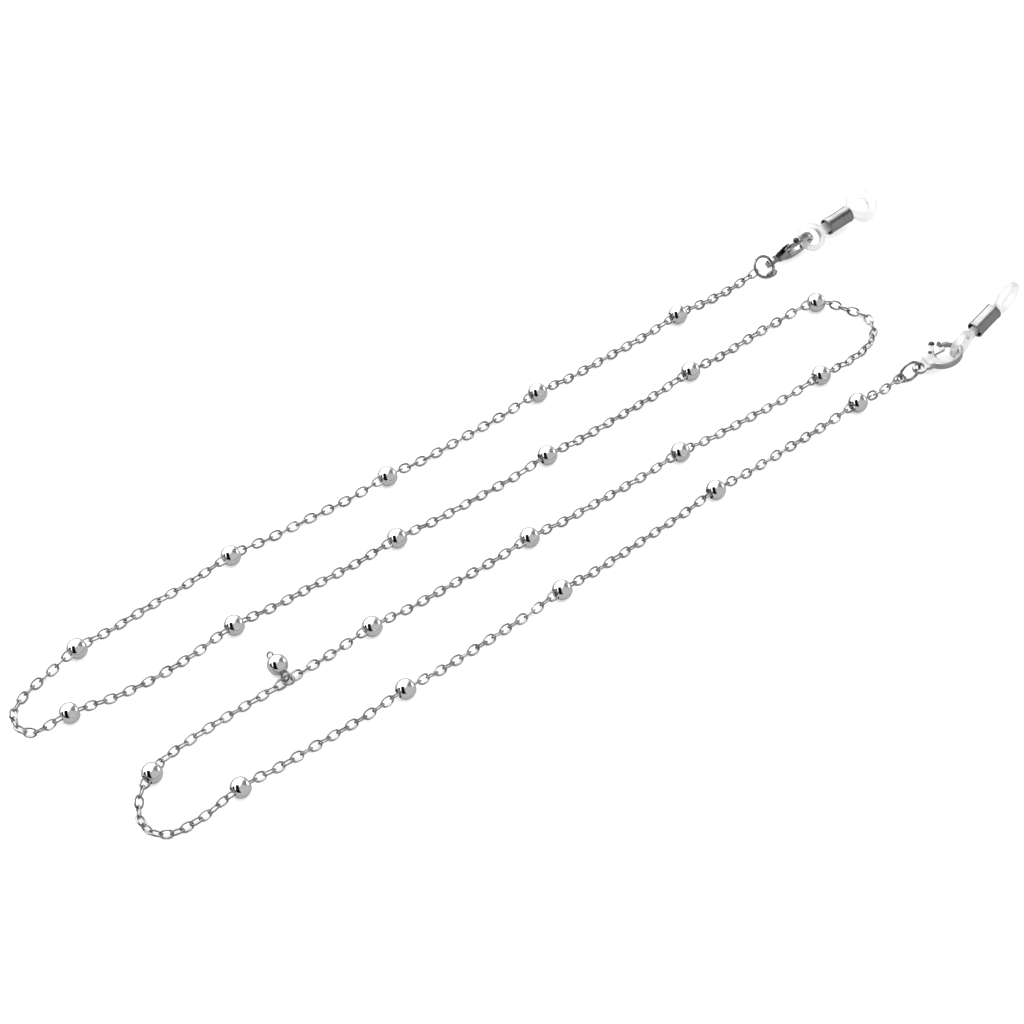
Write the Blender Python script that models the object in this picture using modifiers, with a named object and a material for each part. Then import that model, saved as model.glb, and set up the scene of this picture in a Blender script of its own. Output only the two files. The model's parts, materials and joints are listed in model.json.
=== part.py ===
"""Eyeglass retainer: a beaded neck chain with a clip-on silicone temple loop at each end.

The chain lies on a flat surface in four rows that run along X, joined by three turns, and
weighs itself down onto z = 0. Each stretch of chain between two beads is a plain tube of the
links' outer width. Each end carries a jump ring, a lobster clasp with a sprung gate, and a
silicone loop with a sliding metal sleeve. A small ball charm hangs beside the third row.

Run it with: blender --background --python part.py
"""

import math

import bmesh
import bpy
from mathutils import Matrix, Vector

MM = 0.001

# Beads and chain
BEAD_RADIUS = 1.9 * MM
BEAD_BORE_RADIUS = 1.15 * MM
BEAD_ARC_STEPS = 6
BEAD_SIDES = 12
CHAIN_WIDTH = 1.8 * MM
TUBE_SPACING = 3 * MM
REST_CLEARANCE = 0.02 * MM
SAG_LENGTH = 9 * MM
GAP = 0.3 * MM

# Jump rings at the ends, and the ring that joins the two halves of the third row
END_RING_RADIUS = 2.15 * MM
END_RING_WIRE = 0.35 * MM
JOIN_RING_RADIUS = 0.95 * MM
JOIN_RING_WIRE = 0.22 * MM

# Lobster clasp, drawn in its own plane: u along its length from the eye, w across it
CLASP_THICKNESS = 1.5 * MM
EYE_RADIUS = 1.4 * MM
EYE_HOLE_RADIUS = 0.95 * MM
EYE_TAB_THICKNESS = 0.8 * MM
EYE_TAB_END = 1.7 * MM
JAW_OUTER = {"centre": (6.15 * MM, 0.2 * MM), "radii": (4.0 * MM, 3.05 * MM)}
JAW_INNER = {"centre": (6.6 * MM, 0.1 * MM), "radii": (2.55 * MM, 2.0 * MM)}
JAW_TIP_ANGLE = 84
PIVOT = (3.6 * MM, 1.6 * MM)
CHEEK_RADIUS = 1.05 * MM
PIN_RADIUS = 0.3 * MM
PIN_CLEARANCE = 0.08 * MM
SLOT_THICKNESS = 1.0 * MM
SLOT_START = 2.1 * MM
SLOT_END = 5.2 * MM
SLOT_FLOOR = 0.45 * MM
GATE_THICKNESS = 0.54 * MM
GATE_OFFSET = -0.14 * MM
GATE_HUB_RADIUS = 0.72 * MM
GATE_TIP = 7.1 * MM
GATE_TIP_RISE = 0.2 * MM
KNOB = (5.5 * MM, 3.5 * MM)
KNOB_RADIUS = 0.5 * MM
SPRING_WIRE = 0.1 * MM
SPRING_RADIUS = 0.5 * MM
SPRING_OFFSET = 0.33 * MM

# Silicone loop: a small eye on the clasp, a neck, and a large eye for the temple
LOOP_THICKNESS = 1.4 * MM
LOOP_SEAT = (8.0 * MM, -0.25 * MM)
SMALL_EYE = {"centre": 2.4 * MM, "outer": 2.95 * MM, "hole": 1.85 * MM}
LARGE_EYE = {"centre": 16.6 * MM, "outer": 3.5 * MM, "hole": 1.5 * MM}
LARGE_HOLE_POINT = 14.2 * MM
NECK_HALF_WIDTH = 1.1 * MM
NECK_START = 5.3 * MM
NECK_END = 13.3 * MM

# Sleeve that slides along the neck
SLEEVE_LENGTH = 6.2 * MM
SLEEVE_OUTER_RADIUS = 1.75 * MM
SLEEVE_INNER_RADIUS = 1.45 * MM
SLEEVE_REST = 6.6 * MM

# Charm: a ball between two wire eyes
CHARM_EYE_RADIUS = 0.62 * MM
CHARM_EYE_WIRE = 0.2 * MM
CHARM_BALL_REACH = 2.35 * MM
CHARM_FAR_EYE_REACH = 4.75 * MM

ARC_STEP = 20
CIRCLE_SIDES = 16

# Moves the whole layout so that the origin is under the middle of the beads and fittings
LAYOUT_SHIFT = Vector((0.97, -0.01, 0.0)) * MM

# Route of the chain in millimetres: each row's beads, and the bends between them
ROW_1 = ((44, 19), (9.5, 19.5), (-25.5, 20), (-59, 22), (-92, 21))
LEFT_TURN = ((-98, 20), (-103, 19), (-107, 17), (-108.5, 14), (-107, 11))
ROW_2_START = ((-100, 10),)
ROW_2_BEND = ((-84, 8),)
ROW_2 = ((-67, 8.5), (-32.5, 7), (1.5, 6), (36.5, 6), (68, 5))
RIGHT_TURN = ((72, 0.5), (74, -3), (73, -6.5), (69.5, -9), (63, -10))
ROW_3 = ((56, -10), (22, -8.5), (-13, -7.5), (-47.5, -6.5))
JOIN_POINT = (-65.5, -6.5)
ROW_3_BEND = ((-89, -7),)
ROW_3_END = ((-95, -9),)
FRONT_TURN = ((-98.5, -11), (-101, -14.5), (-101, -18), (-98.5, -20.5), (-92, -21))
ROW_4 = ((-84.5, -20.5), (-50.5, -21), (-15.5, -20.5), (21.5, -19.5), (57, -19.5))
RING_A_POINT = (66, 18.5)
RING_B_POINT = (70, -20)

# How each end's pieces lie: the ring's height, and each piece's heading, pitch and roll in degrees
ENDS = {
    "a": {"ring_z": 2.05 * MM, "ring": (4, 0, 38), "clasp": (-3, 9, 15), "loop": (3, -0.5, 27)},
    "b": {"ring_z": 2.52 * MM, "ring": (-10, 0, -98), "clasp": (-6, 0.5, -90), "loop": (9, 10, -90)},
}


def clear_scene():
    for obj in list(bpy.data.objects):
        bpy.data.objects.remove(obj, do_unlink=True)


def new_collection(name):
    collection = bpy.data.collections.new(name)
    bpy.context.scene.collection.children.link(collection)
    return collection


def principled(name, colour, roughness, metallic):
    material = bpy.data.materials.new(name)
    material.use_nodes = True
    shader = material.node_tree.nodes["Principled BSDF"]
    shader.inputs["Base Color"].default_value = (*colour, 1.0)
    shader.inputs["Roughness"].default_value = roughness
    shader.inputs["Metallic"].default_value = metallic
    material.diffuse_color = (*colour, 1.0)
    return material


def frame_at(position, heading=0.0, pitch=0.0, roll=0.0):
    """A frame whose X runs along heading and pitch (up is positive), rolled about that X."""
    turn = Matrix.Rotation(math.radians(heading), 4, "Z")
    tilt = Matrix.Rotation(math.radians(-pitch), 4, "Y")
    spin = Matrix.Rotation(math.radians(roll), 4, "X")
    return Matrix.Translation(position) @ turn @ tilt @ spin


def pivot_empty(parts, name, matrix):
    empty = bpy.data.objects.new(name, None)
    empty.matrix_world = matrix
    parts.objects.link(empty)
    return empty


def add_object(parts, name, data, material, matrix):
    obj = bpy.data.objects.new(name, data)
    obj.matrix_world = matrix
    parts.objects.link(obj)
    if not data.materials:
        data.materials.append(material)
    return obj


def arc(centre, radii, start, end, step=ARC_STEP):
    """Points on an ellipse's arc from start to end degrees, both included."""
    count = max(1, round(abs(end - start) / step))
    points = []
    for index in range(count + 1):
        angle = math.radians(start + (end - start) * index / count)
        points.append((centre[0] + radii[0] * math.cos(angle), centre[1] + radii[1] * math.sin(angle)))
    return points


def circle(centre, radius, sides=CIRCLE_SIDES):
    return arc(centre, (radius, radius), 0, 360 - 360 / sides, 360 / sides)


def plate(name, outlines, thickness):
    """A closed mesh: flat outlines, the inner ones as holes, with an equal thickness."""
    curve = bpy.data.curves.new(name, "CURVE")
    curve.dimensions = "2D"
    curve.fill_mode = "BOTH"
    curve.extrude = thickness / 2
    for outline in outlines:
        spline = curve.splines.new("POLY")
        spline.points.add(len(outline) - 1)
        for point, (x, y) in zip(spline.points, outline):
            point.co = (x, y, 0.0, 1.0)
        spline.use_cyclic_u = True
    return mesh_from_curve(name, curve)


def mesh_from_curve(name, curve):
    """The curve as a mesh with its caps welded on; the curve itself is removed."""
    helper = bpy.data.objects.new(name, curve)
    bpy.context.scene.collection.objects.link(helper)
    evaluated = helper.evaluated_get(bpy.context.evaluated_depsgraph_get())
    mesh = bpy.data.meshes.new_from_object(evaluated)
    bpy.data.objects.remove(helper)
    bpy.data.curves.remove(curve)
    mesh.name = name
    weld(mesh)
    return mesh


def weld(mesh):
    shape = bmesh.new()
    shape.from_mesh(mesh)
    bmesh.ops.remove_doubles(shape, verts=shape.verts, dist=0.001 * MM)
    bmesh.ops.recalc_face_normals(shape, faces=shape.faces)
    shape.to_mesh(mesh)
    shape.free()


def wire_curve(name, points, radius, cyclic=False):
    """A round wire or tube through the points, with filled ends."""
    curve = bpy.data.curves.new(name, "CURVE")
    curve.dimensions = "3D"
    curve.bevel_depth = radius
    curve.bevel_resolution = 2
    curve.use_fill_caps = not cyclic
    spline = curve.splines.new("POLY")
    spline.points.add(len(points) - 1)
    for target, point in zip(spline.points, points):
        target.co = (*point, 1.0)
    spline.use_cyclic_u = cyclic
    return curve


def torus_mesh(name, radius, wire, major=18, minor=6):
    bpy.ops.mesh.primitive_torus_add(
        major_radius=radius, minor_radius=wire, major_segments=major, minor_segments=minor
    )
    made = bpy.context.object
    mesh = made.data
    mesh.name = name
    bpy.data.objects.remove(made)
    mesh.shade_smooth()
    return mesh


def rod_mesh(name, radius, length, sides=CIRCLE_SIDES):
    """A cylinder along Y, centred on the origin."""
    shape = bmesh.new()
    lay_down = Matrix.Rotation(math.radians(90), 4, "X")
    bmesh.ops.create_cone(
        shape, cap_ends=True, segments=sides, radius1=radius, radius2=radius, depth=length, matrix=lay_down
    )
    mesh = bpy.data.meshes.new(name)
    shape.to_mesh(mesh)
    shape.free()
    return mesh


def box_mesh(name, low, high):
    shape = bmesh.new()
    size = Vector(high) - Vector(low)
    middle = (Vector(high) + Vector(low)) / 2
    place = Matrix.Translation(middle) @ Matrix.Diagonal((*size, 1.0))
    bmesh.ops.create_cube(shape, size=1.0, matrix=place)
    mesh = bpy.data.meshes.new(name)
    shape.to_mesh(mesh)
    shape.free()
    return mesh


def turned_mesh(name, profile, sides):
    """A closed profile of (radius, height) points turned about X, run down its outer side."""
    mesh = bpy.data.meshes.new(name)
    edges = [(index, (index + 1) % len(profile)) for index in range(len(profile))]
    mesh.from_pydata([(radius, 0.0, height) for radius, height in profile], edges, [])
    helper = bpy.data.objects.new(name, mesh)
    bpy.context.scene.collection.objects.link(helper)
    screw = helper.modifiers.new("turn", "SCREW")
    screw.steps = sides
    screw.render_steps = sides
    screw.use_merge_vertices = True
    screw.merge_threshold = 0.001 * MM
    evaluated = helper.evaluated_get(bpy.context.evaluated_depsgraph_get())
    turned = bpy.data.meshes.new_from_object(evaluated)
    bpy.data.objects.remove(helper)
    bpy.data.meshes.remove(mesh)
    turned.name = name
    turned.transform(Matrix.Rotation(math.radians(90), 4, "Y"))
    weld(turned)
    turned.shade_smooth()
    turned.set_sharp_from_angle(angle=math.radians(40))
    return turned


def combine(parts, cutters, name, mesh, others, operation, material, matrix):
    """mesh joined with, or cut by, the other meshes, all drawn in the frame of matrix."""
    obj = add_object(parts, name, mesh, material, matrix)
    for index, other in enumerate(others):
        helper = bpy.data.objects.new(f"{name}_{operation.lower()}_{index}", other)
        helper.matrix_world = matrix
        helper.hide_render = True
        helper.display_type = "WIRE"
        cutters.objects.link(helper)
        modifier = obj.modifiers.new(helper.name, "BOOLEAN")
        modifier.operation = operation
        modifier.object = helper
    return obj


def layout_point(point, height=0.0):
    return Vector((point[0] * MM, point[1] * MM, height)) + LAYOUT_SHIFT


def route_points():
    """The whole route in order, from ring A to ring B, as flat points."""
    beads = ROW_1 + ROW_2_START + ROW_2 + ROW_3 + ROW_3_END + ROW_4
    stops = (RING_A_POINT,) + ROW_1 + LEFT_TURN + ROW_2_START + ROW_2_BEND + ROW_2 + RIGHT_TURN
    stops += ROW_3 + (JOIN_POINT,) + ROW_3_BEND + ROW_3_END + FRONT_TURN + ROW_4 + (RING_B_POINT,)
    return [layout_point(stop) for stop in stops], [layout_point(bead) for bead in beads]


def smooth_route(points, samples=12):
    """A centripetal Catmull-Rom curve through the points, as many short steps."""
    padded = [2 * points[0] - points[1], *points, 2 * points[-1] - points[-2]]
    curve = []
    for before, start, end, after in zip(padded, padded[1:], padded[2:], padded[3:]):
        knots = [0.0]
        for first, second in ((before, start), (start, end), (end, after)):
            knots.append(knots[-1] + math.sqrt((second - first).length))
        for step in range(samples):
            at = knots[1] + (knots[2] - knots[1]) * step / samples
            curve.append(catmull_rom((before, start, end, after), knots, at))
    curve.append(points[-1].copy())
    return curve


def catmull_rom(corners, knots, at):
    def blend(first, second, low, high):
        return first * ((high - at) / (high - low)) + second * ((at - low) / (high - low))

    first = [blend(corners[i], corners[i + 1], knots[i], knots[i + 1]) for i in range(3)]
    second = [blend(first[i], first[i + 1], knots[i], knots[i + 2]) for i in range(2)]
    return blend(second[0], second[1], knots[1], knots[2])


def travelled(curve):
    """The distance along the curve at each of its points."""
    distances = [0.0]
    for first, second in zip(curve, curve[1:]):
        distances.append(distances[-1] + (second - first).length)
    return distances


def point_along(curve, distances, distance):
    for index in range(1, len(curve)):
        if distances[index] >= distance:
            span = distances[index] - distances[index - 1]
            share = (distance - distances[index - 1]) / span
            return curve[index - 1].lerp(curve[index], share)
    return curve[-1].copy()


def chain_height(distance, stops):
    """Height of the chain's middle: lifted to each stop's height, and lying down between them."""
    lying = CHAIN_WIDTH / 2 + REST_CLEARANCE
    height = lying
    for place, stop_height in stops:
        share = min(1.0, abs(distance - place) / SAG_LENGTH)
        falloff = 1 - share * share * (3 - 2 * share)
        height = max(height, lying + (stop_height - lying) * falloff)
    return height


def stretch_points(curve, distances, start, end, stops):
    """Evenly spaced points from start to end along the curve, at the chain's height."""
    count = max(2, round((end - start) / TUBE_SPACING))
    points = []
    for index in range(count + 1):
        distance = start + (end - start) * index / count
        point = point_along(curve, distances, distance)
        point.z = chain_height(distance, stops)
        points.append(point)
    return points


def chain_stops(curve, distances, points, beads):
    """Where the chain stops along the curve: (name, distance, height, clearance to each side)."""
    bead_reach = BEAD_RADIUS + GAP
    end_reach = END_RING_RADIUS + END_RING_WIRE + GAP
    join_reach = JOIN_RING_RADIUS + JOIN_RING_WIRE + GAP
    named = {}
    for index, bead in enumerate(beads, 1):
        named[f"bead_{index:02d}"] = (bead, BEAD_RADIUS, bead_reach)
    named["joining_ring"] = (layout_point(JOIN_POINT), CHAIN_WIDTH / 2 + REST_CLEARANCE, join_reach)
    named["jump_ring_a"] = (points[0], ENDS["a"]["ring_z"], end_reach)
    named["jump_ring_b"] = (points[-1], ENDS["b"]["ring_z"], end_reach)
    stops = []
    for name, (place, height, reach) in named.items():
        nearest = min(range(len(curve)), key=lambda index: (curve[index] - place).length)
        stops.append((name, distances[nearest], height, reach))
    return sorted(stops, key=lambda stop: stop[1])


def bead_mesh():
    rim = math.degrees(math.acos(BEAD_BORE_RADIUS / BEAD_RADIUS))
    profile = arc((0.0, 0.0), (BEAD_RADIUS, BEAD_RADIUS), rim, -rim, 2 * rim / BEAD_ARC_STEPS)
    return turned_mesh("bead", profile, BEAD_SIDES)


def make_chain(parts, materials):
    """Every bead and every stretch of chain between two stops."""
    points, beads = route_points()
    curve = smooth_route(points)
    distances = travelled(curve)
    stops = chain_stops(curve, distances, points, beads)
    heights = [(distance, height) for _, distance, height, _ in stops]
    shared_bead = bead_mesh()
    for name, distance, height, _ in stops:
        if not name.startswith("bead"):
            continue
        ahead = point_along(curve, distances, distance + BEAD_RADIUS)
        behind = point_along(curve, distances, distance - BEAD_RADIUS)
        heading = math.degrees(math.atan2(ahead.y - behind.y, ahead.x - behind.x))
        place = point_along(curve, distances, distance)
        place.z = height
        add_object(parts, name, shared_bead, materials["metal"], frame_at(place, heading))
    for index, (first, second) in enumerate(zip(stops, stops[1:]), 1):
        name = f"chain_{index:02d}"
        start = first[1] + first[3]
        end = second[1] - second[3]
        tube = wire_curve(name, stretch_points(curve, distances, start, end, heights), CHAIN_WIDTH / 2)
        add_object(parts, name, tube, materials["metal"], Matrix.Identity(4))


def clasp_body_mesh():
    """The clasp's one-piece body: an eye, two cheeks for the gate, and the fixed jaw."""
    outline = arc(JAW_OUTER["centre"], JAW_OUTER["radii"], JAW_TIP_ANGLE, -150, 18)
    outline += arc((0.0, 0.0), (EYE_RADIUS, EYE_RADIUS), -50, -310, 26)
    outline += arc(PIVOT, (CHEEK_RADIUS, CHEEK_RADIUS), 150, 0, 30)
    outline += arc(JAW_INNER["centre"], JAW_INNER["radii"], 150, 360 + JAW_TIP_ANGLE, 21)
    hole = circle((0.0, 0.0), EYE_HOLE_RADIUS)
    mesh = plate("clasp_body", [outline, hole], CLASP_THICKNESS)
    mesh.transform(Matrix.Rotation(math.radians(90), 4, "X"))
    return mesh


def eye_side_mesh(side):
    """What is cut from one side of the body so that its eye is a thinner tab."""
    middle = side * (EYE_TAB_THICKNESS + CLASP_THICKNESS) / 2
    half = CLASP_THICKNESS / 2
    low = (-2 * EYE_RADIUS, middle - half, -2 * EYE_RADIUS)
    high = (EYE_TAB_END, middle + half, 2 * EYE_RADIUS)
    return box_mesh("eye_side", low, high)


def gate_mesh():
    """The gate: a hub on the pin, an arm to under the jaw's tip, and a thumb knob."""
    hub_x, hub_z = PIVOT
    arm_low = hub_z - GATE_HUB_RADIUS
    outline = arc(PIVOT, (GATE_HUB_RADIUS, GATE_HUB_RADIUS), 100, 270)
    outline += [(GATE_TIP - 0.3 * MM, arm_low), (GATE_TIP, arm_low + 0.3 * MM)]
    outline += [(GATE_TIP, hub_z + GATE_TIP_RISE)]
    outline += [(hub_x + 2 * GATE_HUB_RADIUS, hub_z + GATE_HUB_RADIUS / 2)]
    outline += arc(KNOB, (KNOB_RADIUS, KNOB_RADIUS), -40, 180, 30)
    hole = circle(PIVOT, PIN_RADIUS + PIN_CLEARANCE, 12)
    mesh = plate("clasp_gate", [outline, hole], GATE_THICKNESS)
    mesh.transform(Matrix.Rotation(math.radians(90), 4, "X"))
    mesh.transform(Matrix.Translation((0.0, GATE_OFFSET, 0.0)))
    return mesh


def spring_points():
    """An open turn of wire round the pin with a leg under the gate and one on the slot's floor."""
    hub_x, hub_z = PIVOT
    turn = arc(PIVOT, (SPRING_RADIUS, SPRING_RADIUS), 200, -70, 27)
    leg_low = (hub_x - 1.0 * MM, hub_z - 0.9 * MM)
    leg_high = (hub_x + 1.3 * MM, hub_z - 0.75 * MM)
    return [(x, SPRING_OFFSET, z) for x, z in [leg_low, *turn, leg_high]]


def loop_mesh():
    """The silicone loop's outline: small eye, neck and large eye, each eye with its hole."""
    upper = arc((SMALL_EYE["centre"], 0.0), (SMALL_EYE["outer"],) * 2, 180, 40)
    upper += [(NECK_START, NECK_HALF_WIDTH), (NECK_END, NECK_HALF_WIDTH)]
    upper += arc((LARGE_EYE["centre"], 0.0), (LARGE_EYE["outer"],) * 2, 130, 0)
    lower = [(x, -y) for x, y in reversed(upper[1:-1])]
    small_hole = circle((SMALL_EYE["centre"], 0.0), SMALL_EYE["hole"])
    large_hole = arc((LARGE_EYE["centre"], 0.0), (LARGE_EYE["hole"],) * 2, -125, 125)
    large_hole.append((LARGE_HOLE_POINT, 0.0))
    return plate("silicone_loop", [upper + lower, small_hole, large_hole], LOOP_THICKNESS)


def sleeve_mesh():
    half = SLEEVE_LENGTH / 2
    profile = [
        (SLEEVE_OUTER_RADIUS, half),
        (SLEEVE_OUTER_RADIUS, -half),
        (SLEEVE_INNER_RADIUS, -half),
        (SLEEVE_INNER_RADIUS, half),
    ]
    return turned_mesh("sleeve", profile, CIRCLE_SIDES)


def end_frames(end, ring_point):
    """The frames of one end's ring, clasp and loop, each with its origin on its own joint."""
    lie = ENDS[end]
    ring = frame_at(layout_point(ring_point, lie["ring_z"]), *lie["ring"])
    clasp = frame_at(ring @ Vector((END_RING_RADIUS, 0.0, 0.0)), *lie["clasp"])
    loop = frame_at(clasp @ Vector((LOOP_SEAT[0], 0.0, LOOP_SEAT[1])), *lie["loop"])
    return ring, clasp, loop


def make_end(parts, cutters, materials, end, ring_point):
    """One end's jump ring, clasp with gate, pin and spring, silicone loop and sleeve."""
    ring, clasp, loop = end_frames(end, ring_point)
    to_pin = Matrix.Translation((PIVOT[0], 0.0, PIVOT[1]))
    ring_pivot = frame_at(ring @ Vector((-END_RING_RADIUS, 0.0, 0.0)), *ENDS[end]["clasp"])
    pivot_empty(parts, f"ring_pivot_{end}", ring_pivot)
    pivot_empty(parts, f"clasp_pivot_{end}", clasp)
    pivot_empty(parts, f"gate_pivot_{end}", clasp @ to_pin)
    pivot_empty(parts, f"loop_pivot_{end}", loop)
    metal = materials["metal"]
    end_ring = torus_mesh("jump_ring", END_RING_RADIUS, END_RING_WIRE)
    add_object(parts, f"jump_ring_{end}", end_ring, metal, ring)

    bore = rod_mesh("pin_bore", PIN_RADIUS + PIN_CLEARANCE, 2 * CLASP_THICKNESS, 12)
    bore.transform(to_pin)
    slot_low = (SLOT_START, -SLOT_THICKNESS / 2, SLOT_FLOOR)
    slot_high = (SLOT_END, SLOT_THICKNESS / 2, JAW_OUTER["radii"][1] + MM)
    cuts = [box_mesh("slot", slot_low, slot_high), bore]
    for side in (-1, 1):
        cuts.append(eye_side_mesh(side))
    combine(parts, cutters, f"clasp_body_{end}", clasp_body_mesh(), cuts, "DIFFERENCE", metal, clasp)
    add_object(parts, f"clasp_gate_{end}", gate_mesh(), metal, clasp)
    pin = rod_mesh("clasp_pin", PIN_RADIUS, CLASP_THICKNESS, 12)
    pin.transform(to_pin)
    add_object(parts, f"clasp_pin_{end}", pin, metal, clasp)
    spring = wire_curve("clasp_spring", spring_points(), SPRING_WIRE)
    add_object(parts, f"clasp_spring_{end}", spring, metal, clasp)

    add_object(parts, f"silicone_loop_{end}", loop_mesh(), materials["silicone"], loop)
    sleeve_place = loop @ Matrix.Translation((SLEEVE_REST + SLEEVE_LENGTH / 2, 0.0, 0.0))
    add_object(parts, f"sleeve_{end}", sleeve_mesh(), materials["metal"], sleeve_place)


def make_charm(parts, cutters, materials):
    """The joining ring in the third row, and the ball charm hooked on its far side."""
    height = CHAIN_WIDTH / 2 + REST_CLEARANCE
    ring_place = frame_at(layout_point(JOIN_POINT, height))
    ring = torus_mesh("joining_ring", JOIN_RING_RADIUS, JOIN_RING_WIRE)
    add_object(parts, "joining_ring", ring, materials["metal"], ring_place)
    place = ring_place @ Matrix.Translation((0.0, JOIN_RING_RADIUS, 0.0))
    pivot_empty(parts, "charm_pivot", place)
    rise = BEAD_RADIUS - height
    rim = [(0.0, BEAD_RADIUS), (0.0, -BEAD_RADIUS)]
    half_circle = arc((0.0, 0.0), (BEAD_RADIUS, BEAD_RADIUS), 90, -90, 22.5)
    ball = turned_mesh("charm_ball", rim[:1] + half_circle[1:-1] + rim[1:], CIRCLE_SIDES)
    ball.transform(Matrix.Translation((0.0, CHARM_BALL_REACH, rise)))
    upright = Matrix.Rotation(math.radians(90), 4, "Y")
    near_eye = torus_mesh("near_eye", CHARM_EYE_RADIUS, CHARM_EYE_WIRE, 14)
    near_eye.transform(upright)
    far_eye = torus_mesh("far_eye", CHARM_EYE_RADIUS, CHARM_EYE_WIRE, 14)
    far_eye.transform(Matrix.Translation((0.0, CHARM_FAR_EYE_REACH, rise)) @ upright)
    combine(parts, cutters, "charm", ball, [near_eye, far_eye], "UNION", materials["metal"], place)


def main():
    clear_scene()
    parts = new_collection("eyeglass_retainer")
    cutters = new_collection("cutters")
    materials = {
        "metal": principled("polished_metal", (0.78, 0.78, 0.8), 0.12, 1.0),
        "silicone": principled("clear_silicone", (0.92, 0.94, 0.95), 0.35, 0.0),
    }
    make_chain(parts, materials)
    make_end(parts, cutters, materials, "a", RING_A_POINT)
    make_end(parts, cutters, materials, "b", RING_B_POINT)
    make_charm(parts, cutters, materials)


main()
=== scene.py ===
"""Looks for the beaded eyeglass chain: its links, beads, rings, clasps, sleeves and silicone loops.

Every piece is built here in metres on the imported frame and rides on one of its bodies.
"""

import json
import math
import random

import bmesh
import bpy
from mathutils import Matrix, Vector


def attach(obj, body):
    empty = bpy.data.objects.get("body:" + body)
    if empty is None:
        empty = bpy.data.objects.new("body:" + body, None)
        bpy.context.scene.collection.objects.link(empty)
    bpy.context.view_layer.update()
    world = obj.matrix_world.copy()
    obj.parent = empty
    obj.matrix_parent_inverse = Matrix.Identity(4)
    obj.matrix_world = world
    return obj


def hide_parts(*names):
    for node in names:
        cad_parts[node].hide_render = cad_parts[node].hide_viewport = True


MM = 0.001

# Meshes: how finely round things are drawn, what counts as a sharp edge, and how cuts are made
WIRE_SIDES = 12
WIRE_STEPS = 32
BALL_SIDES = 64
BALL_STEP = 4
SMALL_SIDES = 24
ROLL_STEP = 15
POLE_ANGLE = 1
EDGE_STEPS = 4
WELD_DISTANCE = 0.002 * MM
SHARP_ANGLE = 40
CUT_SCALE = 1000
CUT_MARGIN = 1 * MM

# Beads and chain
BEAD_RADIUS = 1.9 * MM
BEAD_HOLE_RADIUS = 1.0 * MM
BEAD_LIP = 0.1 * MM
LIP_REACH = 0.7
LIP_INSET = 0.4
LIP_STEP = 30
CHAIN_WIDTH = 1.8 * MM
REST_CLEARANCE = 0.02 * MM
CHAIN_REST_HEIGHT = CHAIN_WIDTH / 2 + REST_CLEARANCE
SAG_LENGTH = 9 * MM
LINK_LENGTH = 2.66 * MM
LINK_WIDTH = 1.92 * MM
LINK_WIRE = 0.2 * MM
LINK_PITCH = 1.9 * MM
LINK_SQUARENESS = 2.3
LINK_STEPS = 30
LINK_SIDES = 9
LINK_ROLL = 45
STRETCH_LEAN = 14
LINK_LEAN = 9
LINK_YAW = 3
LINK_SEED = 7
BEAD_LINK_GAP = 0.15 * MM
CORD_POINTS = 24

# Rings
END_RING_RADIUS = 2.15 * MM
END_RING_WIRE = 0.29 * MM
END_RING_HALF_GAP = 2.5
END_RING_GAP_AT = 115
JOIN_RING_RADIUS = 0.95 * MM
JOIN_RING_WIRE = 0.22 * MM
JOIN_RING_HALF_GAP = 4
JOIN_RING_GAP_AT = 200
RING_SIDES = 16
RING_STEP = 5
SMALL_LINK = {"radii": (1.15 * MM, 0.64 * MM), "wire": 0.2 * MM, "steps": 36, "squareness": 2.2}
SMALL_LINK_PLACES = {"a": (-70, 60, 45), "b": (150, 60, 45)}

# Clasp, drawn in its own plane as the frame's clasp is
CLASP_THICKNESS = 1.5 * MM
CLASP_EDGE = 0.34 * MM
EYE_RADIUS = 1.4 * MM
EYE_ANGLES = (-50, -310)
EYE_HOLE_RADIUS = 0.95 * MM
EYE_TAB_THICKNESS = 0.8 * MM
EYE_TAB_END = 1.7 * MM
JAW_TIP_ANGLE = 84
JAW_OUTER = {
    "centre": (6.15 * MM, 0.2 * MM), "radii": (4.0 * MM, 3.05 * MM),
    "angles": (JAW_TIP_ANGLE, -150),
}
JAW_INNER = {
    "centre": (6.6 * MM, 0.1 * MM), "radii": (2.55 * MM, 2.0 * MM),
    "angles": (150, 360 + JAW_TIP_ANGLE),
}
PIVOT = (3.6 * MM, 1.6 * MM)
CHEEK_RADIUS = 1.05 * MM
CHEEK_ANGLES = (150, 0)
PIN_RADIUS = 0.3 * MM
PIN_CLEARANCE = 0.08 * MM
PIN_HEAD_RADIUS = 0.42 * MM
PIN_HEAD_RISE = 0.12 * MM
SLOT_THICKNESS = 1.0 * MM
SLOT_START = 2.1 * MM
SLOT_END = 5.2 * MM
SLOT_FLOOR = 0.45 * MM
GATE_THICKNESS = 0.54 * MM
GATE_OFFSET = -0.14 * MM
GATE_EDGE = 0.12 * MM
GATE_HUB_RADIUS = 0.72 * MM
GATE_HUB_ANGLES = (100, 270)
GATE_TIP = 7.1 * MM
GATE_TIP_RISE = 0.2 * MM
GATE_TIP_CORNER = 0.3 * MM
KNOB = (5.5 * MM, 3.5 * MM)
KNOB_RADIUS = 0.5 * MM
KNOB_ANGLES = (-40, 180)
KNOB_BALL_RADIUS = 0.62 * MM
KNOB_BALL_STEP = 10

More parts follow.
